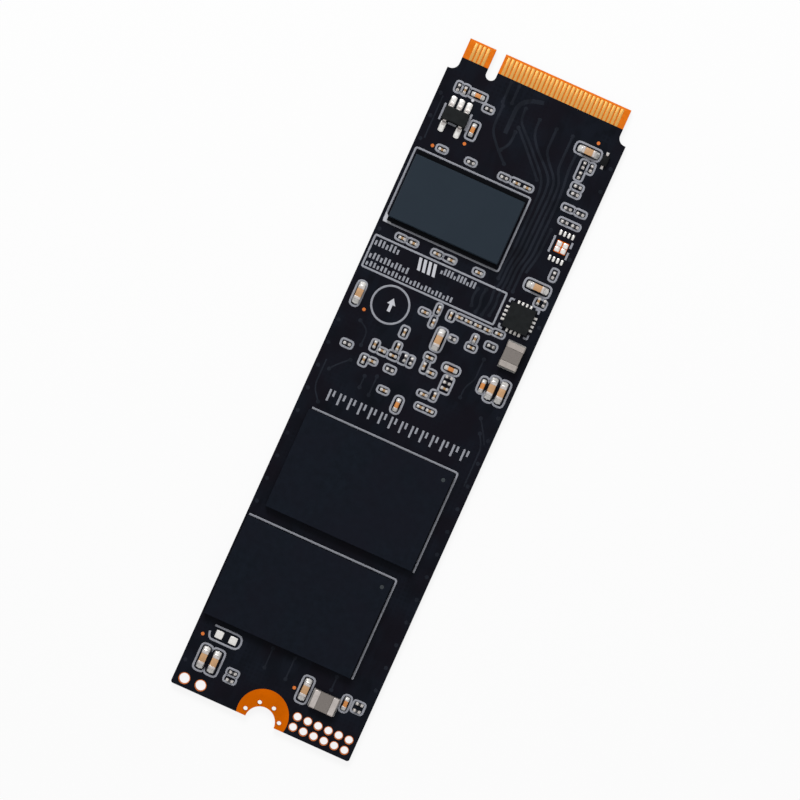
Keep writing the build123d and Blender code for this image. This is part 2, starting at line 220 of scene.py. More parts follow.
def fillet(depth, climb, reach, under=0.0, rim=0.04, roundness=0.35):
    """Solder on a pad that climbs a wall at x = 0 from its +X side, and runs in under the part beyond."""
    length = reach + under

    def height_at(u, v):
        x = (u + 1) / 2 * length - under
        slope = max(0, 1 - x / reach) ** 1.3 if x > 0 else 1 + x / (under + 0.001)
        sides = 1 - abs(v) ** 4
        return 0.3 * rim + 0.7 * rim * (1 - u**6) * (1 - v**6) + climb * slope * sides * (1 - abs(u) ** 12)

    bm = mound(length, depth, height_at, roundness=roundness)
    bmesh.ops.translate(bm, vec=(reach - length / 2, 0, 0), verts=bm.verts)
    return bm


def add(bm, other, x=0.0, y=0.0, z=0.0, turn=0.0):
    """Puts a copy of another shape into bm, turned by degrees and then moved."""
    mesh = bpy.data.meshes.new("copy")
    other.to_mesh(mesh)
    before = len(bm.verts)
    bm.from_mesh(mesh)
    bpy.data.meshes.remove(mesh)
    bm.verts.ensure_lookup_table()
    place = Matrix.Translation((x, y, z)) @ Matrix.Rotation(math.radians(turn), 4, "Z")
    bmesh.ops.transform(bm, matrix=place, verts=bm.verts[before:])


def join(bm, other, *place):
    """Puts a shape into bm and frees it."""
    add(bm, other, *place)
    other.free()


def copies(template, places):
    """One shape repeated at places of x, y, z and turn."""
    bm = bmesh.new()
    for place in places:
        add(bm, template, *place)
    template.free()
    return bm


def softened(node, radius, segments=2, crease=20):
    """A copy of a node with its sharp edges rounded."""
    bm = merged(node)
    bmesh.ops.dissolve_limit(bm, angle_limit=math.radians(1), verts=bm.verts, edges=bm.edges)
    sharp = [edge for edge in bm.edges if edge.calc_face_angle(0) > math.radians(crease)]
    round_edges(bm, sharp, radius, segments)
    return bm


def path(corners, radius=0.0, closed=False, steps=3):
    """A line through corners, each swung in a curve: its points, and whether it is closed."""
    points = []
    for i, corner in enumerate(corners):
        here = Vector(corner)
        back = Vector(corners[i - 1]) - here
        on = Vector(corners[(i + 1) % len(corners)]) - here
        if not closed and i in (0, len(corners) - 1):
            points.append(here)
            continue
        cut = min(radius, back.length * 0.49, on.length * 0.49)
        start, stop = here + back.normalized() * cut, here + on.normalized() * cut
        for k in range(steps + 1):
            t = k / steps
            points.append(start * (1 - t) ** 2 + here * 2 * t * (1 - t) + stop * t**2)
    return points, closed


def drawn(paths, width, height, level=board_top):
    """Low rounded lines on a face of the board, along paths of points, each open or closed."""
    curve = bpy.data.curves.new("drawn", "CURVE")
    curve.dimensions = "3D"
    curve.twist_mode = "Z_UP"
    curve.bevel_depth = width / 2
    curve.bevel_resolution = 1
    curve.use_fill_caps = True
    for points, closed in paths:
        spline = curve.splines.new("POLY")
        spline.points.add(len(points) - 1)
        for knot, point in zip(spline.points, points):
            knot.co = (point[0], point[1], 0, 1)
        spline.use_cyclic_u = closed
    carrier = bpy.data.objects.new("drawn", curve)
    mesh = bpy.data.meshes.new_from_object(carrier)
    bm = bmesh.new()
    bm.from_mesh(mesh)
    bpy.data.objects.remove(carrier)
    bpy.data.meshes.remove(mesh)
    bmesh.ops.scale(bm, vec=(1, 1, 2 * height / width), verts=bm.verts)
    bmesh.ops.translate(bm, vec=(0, 0, level), verts=bm.verts)
    return bm


def flat_patch(corners, thickness):
    """A thin plate with the given corners, lying on the board."""
    bm = bmesh.new()
    face = bm.faces.new([bm.verts.new((x, y, board_top)) for x, y in corners])
    grown = bmesh.ops.extrude_face_region(bm, geom=[face], use_keep_orig=True)["geom"]
    bmesh.ops.translate(bm, vec=(0, 0, thickness), verts=verts_of(grown))
    bmesh.ops.recalc_face_normals(bm, faces=bm.faces)
    return bm


def placed(name, data):
    """Puts an object that holds a mesh, a light or a camera into the scene."""
    made = bpy.data.objects.new(name, data)
    bpy.context.scene.collection.objects.link(made)
    return made


def piece(name, bm, finish, slot, *nodes, crease=35):
    """Brings a finished shape to metres and makes it a piece of the part, in place of the nodes named."""
    bmesh.ops.scale(bm, vec=(MM, MM, MM), verts=bm.verts)
    bmesh.ops.recalc_face_normals(bm, faces=bm.faces)
    mesh = bpy.data.meshes.new(name)
    bm.to_mesh(mesh)
    bm.free()
    mesh.materials.append(finishes[finish])
    mesh.shade_smooth()
    mesh.set_sharp_from_angle(angle=math.radians(crease))
    made = placed(name, mesh)
    flat = made.modifiers.new("flat_faces", "WEIGHTED_NORMAL")
    flat.keep_sharp = True
    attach(made, "root")
    if nodes:
        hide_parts(*nodes)


def refine(node, name, finish, slot, radius, segments=2, crease=20):
    """Replaces a node with a piece of the same shape, whose sharp edges are rounded."""
    piece(name, softened(node, radius, segments, crease), finish, slot, node)


def paint(node, finish):
    """Gives a node of the frame its finish."""
    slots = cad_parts[node].data.materials
    slots.clear()
    slots.append(finishes[finish])


# Finishes


def scaled(colour, *shares):
    """A colour made darker or lighter by one share, or by one each for red, green and blue."""
    return tuple(c * share for c, share in zip(colour, shares * 3))


def feed(socket, value):
    """Gives a node's input a plain value, or links it to another node's output."""
    if isinstance(value, bpy.types.NodeSocket):
        socket.id_data.links.new(value, socket)
    else:
        socket.default_value = value


def new_node(tree, kind, inputs):
    """Adds a node with its inputs, which go by name or number."""
    made = tree.nodes.new(kind)
    for name, value in inputs.items():
        feed(made.inputs[name], value)
    return made


class Finish:
    """A procedural material. Its patterns are laid out in millimetres of the object."""

    def __init__(self, name, roughness, metallic=0.0, specular=0.5):
        self.material = bpy.data.materials.new(name)
        self.material.use_nodes = True
        self.tree = self.material.node_tree
        self.shader = self.tree.nodes["Principled BSDF"]
        gloss = {"Roughness": roughness, "Metallic": metallic, "Specular IOR Level": specular}
        for socket, value in gloss.items():
            feed(self.shader.inputs[socket], value)
        self.coordinates = self.tree.nodes.new("ShaderNodeTexCoord").outputs
        self.place = self.stretched(self.coordinates["Object"], (1 / MM,) * 3)

    def stretched(self, place, scale):
        return new_node(self.tree, "ShaderNodeMapping", {"Vector": place, "Scale": scale}).outputs["Vector"]

    def noise(self, grain, detail=3.0, stretch=None, roughness=0.55):
        """Smooth noise with features of about grain millimetres."""
        place = self.stretched(self.place, stretch) if stretch else self.place
        inputs = {"Vector": place, "Scale": 1 / grain, "Detail": detail, "Roughness": roughness}
        return new_node(self.tree, "ShaderNodeTexNoise", inputs).outputs["Fac"]

    def blotches(self, grain, detail, start, stop, most, stretch=None):
        """Soft-edged blotches, from 0 to the most where the noise goes from start to stop."""
        return self.ramp(self.noise(grain, detail, stretch), (start, 0.0), (stop, most))

    def waves(self, pitch, direction, distortion=0.0):
        inputs = {"Vector": self.place, "Scale": math.tau / 20 / pitch, "Distortion": distortion}
        node = new_node(self.tree, "ShaderNodeTexWave", inputs)
        node.bands_direction = direction
        return node.outputs["Fac"]

    def ramp(self, value, *stops):
        """Two colours or greys at positions from 0 to 1."""
        node = new_node(self.tree, "ShaderNodeValToRGB", {"Fac": value})
        for element, (position, colour) in zip(node.color_ramp.elements, stops):
            shade = (colour,) * 3 if isinstance(colour, float) else colour
            element.position = position
            element.color = (*shade, 1)
        return node.outputs["Color"]

    def math(self, operation, first, second=0.0):
        node = new_node(self.tree, "ShaderNodeMath", {0: first, 1: second})
        node.operation = operation
        return node.outputs["Value"]

    def mix(self, factor, first, second):
        """Goes from a first colour, at factor 0, to a second. The inputs go by number, as names repeat."""
        node = self.tree.nodes.new("ShaderNodeMix")
        node.data_type = "RGBA"
        second = (*second, 1) if isinstance(second, tuple) else second
        for i, value in {0: factor, 6: first, 7: second}.items():
            feed(node.inputs[i], value)
        return node.outputs[2]

    def axis(self, name, vector):
        return new_node(self.tree, "ShaderNodeSeparateXYZ", {"Vector": vector}).outputs[name]

    def colour(self, value):
        feed(self.shader.inputs["Base Color"], value)

    def rough(self, value, low, high):
        """Lets the roughness vary between two values."""
        node = new_node(self.tree, "ShaderNodeMapRange", {"Value": value, "To Min": low, "To Max": high})
        feed(self.shader.inputs["Roughness"], node.outputs["Result"])

    def bump(self, value, depth, strength=1.0):
        """Raises the surface by depth millimetres where the value is 1, on top of an earlier bump."""
        inputs = {"Height": value, "Distance": depth * MM, "Strength": strength}
        node = new_node(self.tree, "ShaderNodeBump", inputs)
        normal = self.shader.inputs["Normal"]
        if normal.links:
            feed(node.inputs["Normal"], normal.links[0].from_socket)
        feed(normal, node.outputs["Normal"])


def plain_finish(name, colour, dark, roughness, metallic, specular, grain, depth, patch):
    """Two close tones in patches, with a fine grain. The dark is a share of the colour, or a tone."""
    made = Finish(name, roughness, metallic, specular)
    if isinstance(dark, float):
        dark = scaled(colour, dark)
    made.colour(made.ramp(made.noise(patch), (0.3, dark), (0.7, colour)))
    fine = made.noise(grain, 4)
    made.rough(fine, roughness * 0.8, min(1, roughness * 1.2))
    made.bump(fine, depth)
    return made.material


def mask_finish(name, colour, laminate=None, edge=None):
    """Solder mask. The board's own finish also shows bare laminate at the tab and the cut edges."""
    made = Finish(name, 0.42, specular=0.025)
    shade = made.ramp(made.noise(2.5, 4), (0.3, scaled(colour, 0.72)), (0.7, scaled(colour, 1.25)))
    pour = made.blotches(1.1, 1, 0.5, 0.56, 0.5, stretch=(1, 0.35, 1))
    shade = made.mix(pour, shade, scaled(colour, 1.5))
    if laminate:
        mesh = made.math("MAXIMUM", made.waves(0.52, "X"), made.waves(0.52, "Y"))
        mesh = made.math("MULTIPLY", mesh, made.blotches(3.5, 1, 0.45, 0.6, 0.5))
        shade = made.mix(mesh, shade, scaled(colour, 1.8))
        shade = made.mix(made.blotches(4.5, 3, 0.4, 0.62, 0.7), shade, scaled(colour, 1.25, 0.75, 0.8))
        tab = made.math("GREATER_THAN", made.axis("Y", made.place), mask_end)
        glass = made.ramp(made.noise(0.3), (0.3, scaled(laminate, 0.8)), (0.7, laminate))
        shade = made.mix(tab, shade, glass)
        layers = made.ramp(made.waves(0.13, "Z", 0.6), (0.2, scaled(edge, 0.55)), (0.8, edge))
        upright = made.math("ABSOLUTE", made.axis("Z", made.coordinates["Normal"]))
        shade = made.mix(made.math("LESS_THAN", upright, 0.4), shade, layers)
    made.colour(shade)
    fine = made.noise(0.12, 4)
    made.rough(fine, 0.34, 0.5)
    made.bump(fine, 0.0025)
    made.bump(made.noise(1.2, 2), 0.01, 0.5)
    return made.material


def gold_finish(gold):
    """Gold plate, brushed a little along the contacts."""
    made = Finish("contact_gold", 0.42, metallic=0.5, specular=0.1)
    streaks = made.noise(0.12, 2, stretch=(1, 0.06, 1))
    made.colour(made.ramp(streaks, (0.3, scaled(gold, 0.92)), (0.7, gold)))
    made.rough(streaks, 0.38, 0.46)
    made.bump(streaks, 0.0002)
    return made.material


def mould_finish(colour):
    """The memory packages' matt mould, with a faint cloudiness on top."""
    made = Finish("flash_mould", 0.62, specular=0.04)
    clouds = made.noise(0.7, 5, roughness=0.7)
    shade = made.ramp(clouds, (0.35, scaled(colour, 0.8)), (0.68, scaled(colour, 1.22)))
    made.colour(made.mix(made.blotches(5.0, 2, 0.35, 0.65, 0.6), shade, scaled(colour, 1.2, 0.84, 0.92)))
    fine = made.noise(0.05, 4)
    made.rough(fine, 0.5, 0.72)
    made.bump(fine, 0.005)
    return made.material


mask_end = box("edge_contacts_top")[0].y

finishes = {}


def make_finishes(context):
    """Every finish of the drive, by name."""
    scene = context.scene
    board, package, trim = scene.drive_board, scene.drive_packages, scene.drive_parts
    laminate, edge = board.laminate_colour, board.edge_colour
    finishes["mask"] = mask_finish("solder_mask", board.mask_colour, laminate, edge)
    finishes["covered_copper"] = mask_finish("mask_over_copper", board.covered_colour)
    finishes["gold"] = gold_finish(board.gold_colour)
    finishes["mould"] = mould_finish(package.mould_colour)
    # Name, material, colour, its darker patches, roughness, metallic, specular, and then the size of
    # the grain, its depth and the size of the patches
    for name, *values in (
        ("ink", "legend_ink", board.ink_colour, 0.82, 0.6, 0, 0.1, 0.08, 0.004, 0.5),
        ("solid_ink", "solid_ink", board.solid_colour, 0.86, 0.6, 0, 0.1, 0.08, 0.004, 0.5),
        ("copper", "bare_copper", board.copper_colour, 0.86, 0.42, 0.3, 0, 0.12, 0.002, 1.5),
        ("ring", "plated_ring", board.ring_colour, 0.8, 0.35, 0.4, 0.1, 0.1, 0.002, 1.5),
        ("solder", "solder", trim.solder_colour, 0.8, 0.34, 0.5, 0.5, 0.09, 0.003, 0.25),
        ("tin", "tin_plate", trim.tin_colour, 0.85, 0.36, 0.6, 0.5, 0.05, 0.002, 0.3),
        ("ceramic", "capacitor_ceramic", trim.ceramic_colour, 0.8, 0.45, 0, 0.5, 0.04, 0.0015, 0.6),
        ("medium_ceramic", "medium_ceramic", trim.medium_colour, 0.8, 0.45, 0, 0.5, 0.04, 0.0015, 0.6),
        ("small_ceramic", "small_ceramic", trim.small_ceramic_colour, 0.8, 0.45, 0, 0.2, 0.04, 0.001, 0.4),
        ("plate", "inductor_plate", trim.plate_colour, 0.8, 0.34, 0.6, 0.5, 0.06, 0.003, 0.7),
        # Inductor B's ends: the same plating as inductor A's, painted lighter as a painted highlight
        ("bright_plate", "bright_plate", trim.highlit_plate_colour, 0.8, 0.34, 0.6, 0.5, 0.06, 0.003, 0.7),
        ("glaze", "resistor_glaze", tone(30, 28, 27), tone(16, 15, 15), 0.25, 0, 0.5, 0.06, 0.001, 0.3),
        ("core", "inductor_core", trim.core_colour, 0.78, 0.7, 0, 0.5, 0.05, 0.006, 0.12),
        ("cap", "controller_mould", package.cap_colour, 0.9, 0.5, 0, 0.05, 0.04, 0.001, 6),
        ("dimple", "dimple_floor", tone(46, 52, 56), tone(38, 43, 47), 0.4, 0, 0.2, 0.05, 0.001, 0.3),
        ("small_mould", "small_mould", package.small_mould_colour, 0.6, 0.6, 0, 0.06, 0.05, 0.004, 0.7),
        ("dark_mould", "diode_mould", tone(17, 18, 20), tone(11, 12, 13), 0.55, 0, 0.06, 0.05, 0.003, 0.5),
        ("substrate", "package_substrate", tone(5, 6, 10), tone(3, 4, 7), 0.5, 0, 0.03, 0.1, 0.002, 1.5),
    ):
        finishes[name] = plain_finish(*values)


# What a user would change


def length_property(label, text, default):
    return bpy.props.FloatProperty(
        name=label, description=text, default=default * MM, unit="LENGTH", precision=5
    )


def colour_property(label, what, *default):
    """A colour, given as it looks on a screen."""
    return bpy.props.FloatVectorProperty(
        name=label, description=f"Colour of {what}", default=tone(*default), subtype="COLOR", min=0, max=1
    )


def power_property(label, text, default):
    return bpy.props.FloatProperty(name=label, description=text, default=default, unit="POWER")


class BoardSettings(bpy.types.PropertyGroup):
    """The board, its plating, traces and printed legend."""

    mask_colour: colour_property("Mask", "the solder mask", 13, 16, 23)
    covered_colour: colour_property("Covered copper", "the mask over a trace", 27, 30, 37)
    copper_colour: colour_property("Copper", "bare copper", 193, 90, 1)
    ring_colour: colour_property("Rings", "the plated rings", 197, 108, 50)
    gold_colour: colour_property("Gold", "the contacts", 192, 145, 78)
    laminate_colour: colour_property("Laminate", "the bare tab", 222, 113, 22)
    edge_colour: colour_property("Cut edge", "the board's cut edge", 58, 50, 40)
    ink_colour: colour_property("Ink", "the legend", 149, 151, 159)
    solid_colour: colour_property("Solid ink", "the legend's filled marks", 196, 197, 203)
    trace_width: length_property("Trace width", "Width of a trace", 0.3)
    trace_height: length_property("Trace height", "How far a trace stands out under the mask", 0.018)
    line_width: length_property("Line", "Width of the legend's outlines and ticks", 0.24)
    frame_width: length_property("Frame", "Width of the legend's frames and ring", 0.23)
    ink_height: length_property("Ink height", "How far the ink stands out", 0.028)
    plating_rim: length_property("Plating", "How far the mask stands out where it laps over plating", 0.02)


class PackageSettings(bpy.types.PropertyGroup):
    """The controller, the memory and the small moulded packages."""

    cap_colour: colour_property("Controller", "the controller's cap", 37, 46, 55)
    mould_colour: colour_property("Memory", "the memory's mould", 15, 20, 28)
    small_mould_colour: colour_property("Small packages", "the small packages", 28, 30, 31)
    edge_radius: length_property("Edge radius", "Rounding of a package's edges", 0.05)
    dimple_radius: length_property("Dimple radius", "Radius of the dimple that marks the first corner", 0.3)
    dimple_depth: length_property("Dimple depth", "Depth of that dimple", 0.05)
    ball_swell: bpy.props.FloatProperty(
        name="Ball swell", description="Radius of a solder ball against half its space", default=1.1, min=0.5
    )


class PartSettings(bpy.types.PropertyGroup):
    """The chips, inductors and solder."""

    ceramic_colour: colour_property("Ceramic", "the large capacitors", 190, 146, 101)
    medium_colour: colour_property("Medium ceramic", "the medium capacitors", 200, 126, 52)
    small_ceramic_colour: colour_property("Small ceramic", "the smallest capacitors", 164, 130, 88)
    plate_colour: colour_property("Inductor plate", "inductor A's ends", 148, 141, 136)
    # Inductor B's ends: inductor A's plating painted lighter, a painted highlight
    highlit_plate_colour: colour_property("Bright plate", "inductor B's ends", 166, 159, 155)
    core_colour: colour_property("Core", "the inductors", 118, 111, 106)
    tin_colour: colour_property("Tin", "plated ends and leads", 172, 166, 163)
    solder_colour: colour_property("Solder", "the solder", 206, 204, 201)
    chip_radius: length_property("Chip rounding", "Rounding of a large chip's plated ends", 0.06)
    solder_flare: length_property("Solder flare", "How far solder stands out beside a chip", 0.05)
    small_reach: length_property("Small solder", "How far the solder of the smallest chips reaches", 0.19)


class StageSettings(bpy.types.PropertyGroup):
    """Camera, light and floor."""

    view_width: length_property("View", "What the picture takes in, side to side", 90.1)
    distance: length_property("Distance", "Height of the camera over the board", 520)
    lean: bpy.props.FloatProperty(
        name="Lean", description="How far the drive leans clockwise in the picture",
        default=math.radians(24.26), subtype="ANGLE", unit="ROTATION",
    )
    key_strength: power_property("Key", "Strength of the main light", 1.2)
    fill_strength: power_property("Fill", "Strength of the broad light from above", 0.5)
    surround: bpy.props.FloatProperty(
        name="Surround", description="Brightness of the surround", default=0.38, min=0
    )


# Pieces


class DRIVE_OT_board(bpy.types.Operator):
    """Finish the board, its mounting pad, plated holes and test points"""

    bl_idname = "drive.board"
    bl_label = "Board and plating"

    def execute(self, context):
        rim = context.scene.drive_board.plating_rim / MM
        under = board_low.z - rim / 4
        paint("circuit_board", "mask")
        paint("mounting_pad", "copper")
        laps = bmesh.new()
        # The radius of the hole, of the copper that stays bare and of the ring
        for holes, hole, bare, ring in (("header", 0.435, 0.515, 0.585), ("supply", 0.585, 0.675, 0.745)):
            node = f"{holes}_sleeves"
            places = [centre.xy for centre in centres(node)]
            made = copies(tube(hole, ring - 0.01, under, board_top + rim / 2, rim / 2), places)
            piece(f"{holes}_plating", made, "ring", "bare_copper", node)
            join(laps, copies(lap(bare, ring, rim), places))
        made = copies(tube(0.25, 0.35, under, board_top + rim, rim), seat_vias())
        piece("seat_vias", made, "copper", "bare_copper")
        places = [centre.xy for centre in centres("test_points")]
        made = copies(button(0.26, board_top - 0.02, board_top + rim / 2, 0.005), places)
        piece("probe_points", made, "ring", "bare_copper", "test_points")
        join(laps, copies(lap(0.2, 0.29, rim), places))
        piece("mask_laps", laps, "mask", "solder_mask")
        return {"FINISHED"}


def lap(inner, outer, rim):
    """The ring of mask that laps over a plated ring."""
    return tube(inner, outer, board_top - rim / 2, board_top + rim, rim / 2)


def seat_vias():
    """The places of the four vias round the screw seat."""
    radius, step, count = 2.2, 46.7, 4
    angles = [math.radians(90 + (i - (count - 1) / 2) * step) for i in range(count)]
    return [(radius * math.cos(angle), radius * math.sin(angle) - half_length) for angle in angles]


class DRIVE_OT_contacts(bpy.types.Operator):
    """Make the gold contacts on both faces of the tab"""

    bl_idname = "drive.contacts"
    bl_label = "Edge contacts"

    def execute(self, context):
        for face in ("top", "bottom"):
            node = f"edge_contacts_{face}"
            strip = rounded_box(*unit(node), 0.012, 2)
            places = [((low.x + high.x) / 2, (low.y + high.y) / 2, low.z) for low, high in solids(node)]
            piece(f"gold_contacts_{face}", copies(strip, places), "gold", "contact_gold", node)
        return {"FINISHED"}


class DRIVE_OT_traces(bpy.types.Operator):
    """Draw the traces that show through the solder mask"""

    bl_idname = "drive.traces"
    bl_label = "Traces"

    def execute(self, context):
        settings = context.scene.drive_board
        width, height = settings.trace_width / MM, settings.trace_height / MM
        under = [beside(route, under_pitch * lane) for route in under_routes for lane in range(-3, 4)]
        made = bmesh.new()
        for routes, radius, steps, wide, tall, level in (
            (trace_routes, 0.9, 4, width, height, board_top),
            (fine_routes, 0.9, 4, width * 0.6, height, board_top),
            ([supply_route], 1.4, 6, supply_width, height / 2, board_top),
            (under, 0.9, 4, width * 0.8, height, board_low.z),
        ):
            join(made, drawn([path(route, radius, steps=steps) for route in routes], wide, tall, level))
        piece("traces", made, "covered_copper", "solder_mask")

        row = half_width - 0.5
        steps = [row_start + row_pitch * step for step in range(row_count)]
        places = [(x, y) for x in (-row, row) for y in steps if clear(x, y, 0.45)]
        ends = [route[end] for route in trace_routes + fine_routes for end in (0, -1)]
        places += [end for end in ends if clear(*end, 0.35) and abs(end[0]) < row - 0.6]
        made = copies(covered_via(1), [(x, y, board_top) for x, y in places])
        places += [route[end] for route in under for end in (0, -1)]
        join(made, copies(covered_via(-1), [(x, y, board_low.z) for x, y in places]))
        piece("covered_vias", made, "covered_copper", "solder_mask")
        return {"FINISHED"}


# The distance between traces on the underside
under_pitch = 0.55
# The rows of vias along the board's long sides
row_start, row_pitch, row_count = -37.0, 2.8, 26


def covered_via(way):
    """The shallow crater that a via leaves in the mask, facing up for 1 and down for -1."""
    rim = ((0, -0.01), (0.24, -0.01), (0.24, 0.004), (0.19, 0.014), (0.13, 0.014), (0.07, 0.004), (0, 0.003))
    return turned([(radius, way * z) for radius, z in rim], 12)


def clear(x, y, room):
    """Whether a place on the top of the board is free of parts and of the legend's outlines."""
    spans = (*carried(), *small_outlines, *large_outlines)
    return not any(s[0] - room < x < s[2] + room and s[1] - room < y < s[3] + room for s in spans)


def carried():
    """The limits of each solid on the board or in a hole through it: left, lower, right and upper."""
    if not carried_spans:
        found = [box("mounting_pad")]
        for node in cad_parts:
            if node not in ("circuit_board", "mounting_pad", "edge_contacts_top", "edge_contacts_bottom"):
                found += solids(node)
        carried_spans.extend((low.x, low.y, high.x, high.y) for low, high in found)
    return carried_spans


carried_spans = []


def beside(route, shift):
    """A route moved sideways, so that a pair of traces keeps its distance round the corners."""
    points = [Vector(point) for point in route]
    runs = [(b - a).normalized() for a, b in zip(points, points[1:])]
    moved = []
    for point, behind, ahead in zip(points, runs[:1] + runs, runs + runs[-1:]):
        way = (ahead + behind).normalized()
        side = Vector((way.y, -way.x))
        moved.append(point + side * shift / max(0.5, way.dot(ahead)))
    return moved


# Middle lines of the traces
trace_routes = (
    ((-1.0, 35.3), (-1.0, 33.8), (0.9, 32.0), (2.9, 29.9), (3.9, 28.8), (4.25, 27.4), (4.25, 20.2),
     (4.0, 18.6), (4.0, 16.6)),
    ((-0.9, 33.0), (0.9, 31.2), (2.4, 29.6), (3.4, 28.5)),
    ((0.95, 34.8), (0.95, 33.2), (1.9, 31.8), (3.4, 30.4), (4.6, 29.2), (4.85, 27.8), (4.8, 20.2),
     (4.5, 18.6), (4.5, 16.2), (4.1, 15.2), (4.3, 13.9), (4.0, 12.1)),
    ((3.1, 34.6), (3.1, 31.8), (3.9, 30.8), (5.3, 29.2), (5.45, 27.6), (5.35, 20.2),
     (5.0, 18.6), (5.0, 16.2), (4.8, 14.9), (5.0, 13.7), (4.8, 12.4)),
    ((5.1, 34.6), (5.1, 30.4), (5.9, 29.2), (6.0, 27.4), (5.9, 20.2), (5.5, 18.6), (5.5, 16.0)),
    ((6.3, 33.4), (6.2, 30.8), (6.5, 29.0), (6.6, 26.6), (6.5, 20.4), (6.1, 18.9), (6.1, 15.9)),
    ((7.2, 24.0), (7.05, 20.4), (6.7, 19.0), (6.6, 18.4)), ((2.4, 14.6), (2.2, 13.6), (2.5, 12.6)),
    ((3.3, 14.9), (3.1, 13.9), (3.4, 12.9), (3.2, 12.1)), ((-3.7, 37.3), (-3.7, 34.9)),
    ((-2.7, 37.3), (-2.7, 35.2)), ((-3.5, 34.5), (-3.5, 31.6), (-2.2, 30.0), (-0.7, 28.6)),
    ((-1.0, 32.4), (-1.0, 30.9), (-1.7, 29.9)),
)

# The same of thinner traces
fine_routes = (
    ((-10.1, 32.8), (-10.1, 27.6)), ((9.3, -0.2), (10.1, -1.6), (10.1, -6.4)),
    ((-8.8, -4.4), (-9.9, -3.0), (-9.9, 0.4)), ((-2.0, -31.8), (-2.0, -34.2)), ((0.7, -31.8), (0.7, -34.4)),
    ((5.9, -31.8), (5.9, -33.4)), ((-5.2, -1.0), (-5.2, 0.4)), ((-3.9, -1.4), (-3.9, 0.9)),
    ((-7.4, 1.4), (-8.6, 0.3), (-9.2, -0.5)), ((8.7, 1.4), (9.5, 0.2), (10.3, -1.2)),
    ((-8.2, 5.9), (-7.0, 5.2), (-7.0, 3.4)), ((6.3, 7.6), (6.3, 5.0), (5.6, 3.9), (5.6, 2.6)),
)

# Middle line of a wide trace, and its width
supply_route = ((-2.0, 31.8), (-2.0, 35.3), (-1.0, 36.3), (0.6, 36.7))
supply_width = 0.5

# Middle lines of the bundles of traces on the underside
under_routes = (
    ((-1.0, 36.9), (-1.0, 31.0), (3.0, 26.0), (3.0, 12.0), (0.5, 9.0), (0.5, -2.0)),
    ((-8.2, 34.0), (-8.2, 14.0), (-6.6, 12.2), (-6.6, -6.0), (-4.8, -8.0), (-4.8, -28.0)),
    ((6.0, 5.0), (6.0, -4.0), (7.4, -5.8), (7.4, -26.0)),
)


class DRIVE_OT_legend(bpy.types.Operator):
    """Print the legend: outlines round the parts, frames and plain marks"""

    bl_idname = "drive.legend"
    bl_label = "Printed legend"

    def execute(self, context):
        settings = context.scene.drive_board
        line, height = settings.line_width / MM, settings.ink_height / MM
        paths = outlines(small_outlines, 0.32, line / 2 + 0.05, True)
        paths += outlines(large_outlines, 0.5, line / 2 + 0.07, False)
        made = drawn(paths + fine_lines(), line, height)
        join(made, drawn(frame_lines(), settings.frame_width / MM, height))
        piece("legend", made, "ink", None)
        made = bmesh.new()
        for corners in solid_marks():
            join(made, flat_patch(corners, height))
        join(made, button(0.18, board_top - 0.01, board_top + height, 0.005), -6.85, 33.7)
        piece("legend_marks", made, "solid_ink", None)
        return {"FINISHED"}


# Outlines round the chips as left, lower, right and upper limits. Neighbours share a side.
small_outlines = (
    (-9.5, 33.6, -8.5, 35.25), (-8.5, 33.6, -7.6, 35.25), (-7.6, 33.7, -5.25, 35.1),
    (-5.7, 32.9, -4.0, 34.1), (-6.2, 29.3, -4.7, 31.85), (-8.6, 26.7, -6.9, 27.8),
    (-5.05, 26.7, -3.35, 27.8), (-0.95, 26.7, 0.7, 27.8), (0.7, 26.7, 3.65, 27.85),
    (6.9, 30.1, 8.05, 33.0), (8.05, 31.25, 9.0, 33.0), (7.0, 29.15, 8.8, 30.2), (7.0, 28.2, 8.8, 29.15),
    (7.0, 26.45, 8.75, 27.6), (8.75, 26.45, 10.35, 27.6), (7.3, 24.9, 10.3, 26.0),
    (8.95, 18.55, 10.15, 20.4), (8.6, 15.2, 10.4, 16.6), (-8.7, 15.75, -7.15, 16.85),
    (-7.15, 15.75, -5.6, 16.85), (-4.3, 15.75, -2.65, 16.85), (-2.65, 15.75, -0.9, 16.85),
    (0.85, 15.75, 2.55, 16.85), (0.25, 9.75, 1.4, 11.35), (1.4, 10.25, 5.85, 11.35),
    (5.85, 10.35, 7.5, 11.5), (-2.85, 9.15, -1.15, 10.3), (-1.25, 9.85, -0.2, 11.5),
    (-1.25, 8.2, -0.2, 9.85), (1.45, 7.75, 2.85, 8.85), (3.55, 7.6, 5.25, 8.7), (3.85, 8.7, 4.95, 10.0),
    (5.5, 8.6, 7.3, 9.85), (-3.8, 5.85, -2.5, 7.6), (-6.2, 3.1, -5.1, 4.85), (-5.1, 3.1, -3.9, 4.3),
    (-2.55, 3.1, -1.57, 4.85), (-1.57, 3.1, -0.6, 4.85), (-3.9, 3.1, -2.55, 4.3), (-3.8, 4.3, -2.55, 5.65),
    (-6.7, 1.1, -5.55, 2.85), (-5.55, 1.7, -4.35, 2.85), (-3.8, 1.65, -2.05, 2.85),
    (-9.4, 2.3, -7.65, 3.5), (-0.2, 4.85, 1.45, 5.95), (0.0, 3.15, 1.0, 4.85), (1.0, 3.15, 2.25, 4.35),
    (2.75, 2.2, 4.4, 4.45), (2.3, 0.7, 3.4, 2.2), (0.75, 0.7, 2.3, 1.75), (1.1, -0.8, 4.0, 0.35),
    (-3.5, -0.8, -1.8, 0.35), (-5.9, -37.6, -4.1, -36.62), (-5.9, -36.62, -4.1, -35.65),
    (8.6, -34.85, 10.35, -33.1),
)

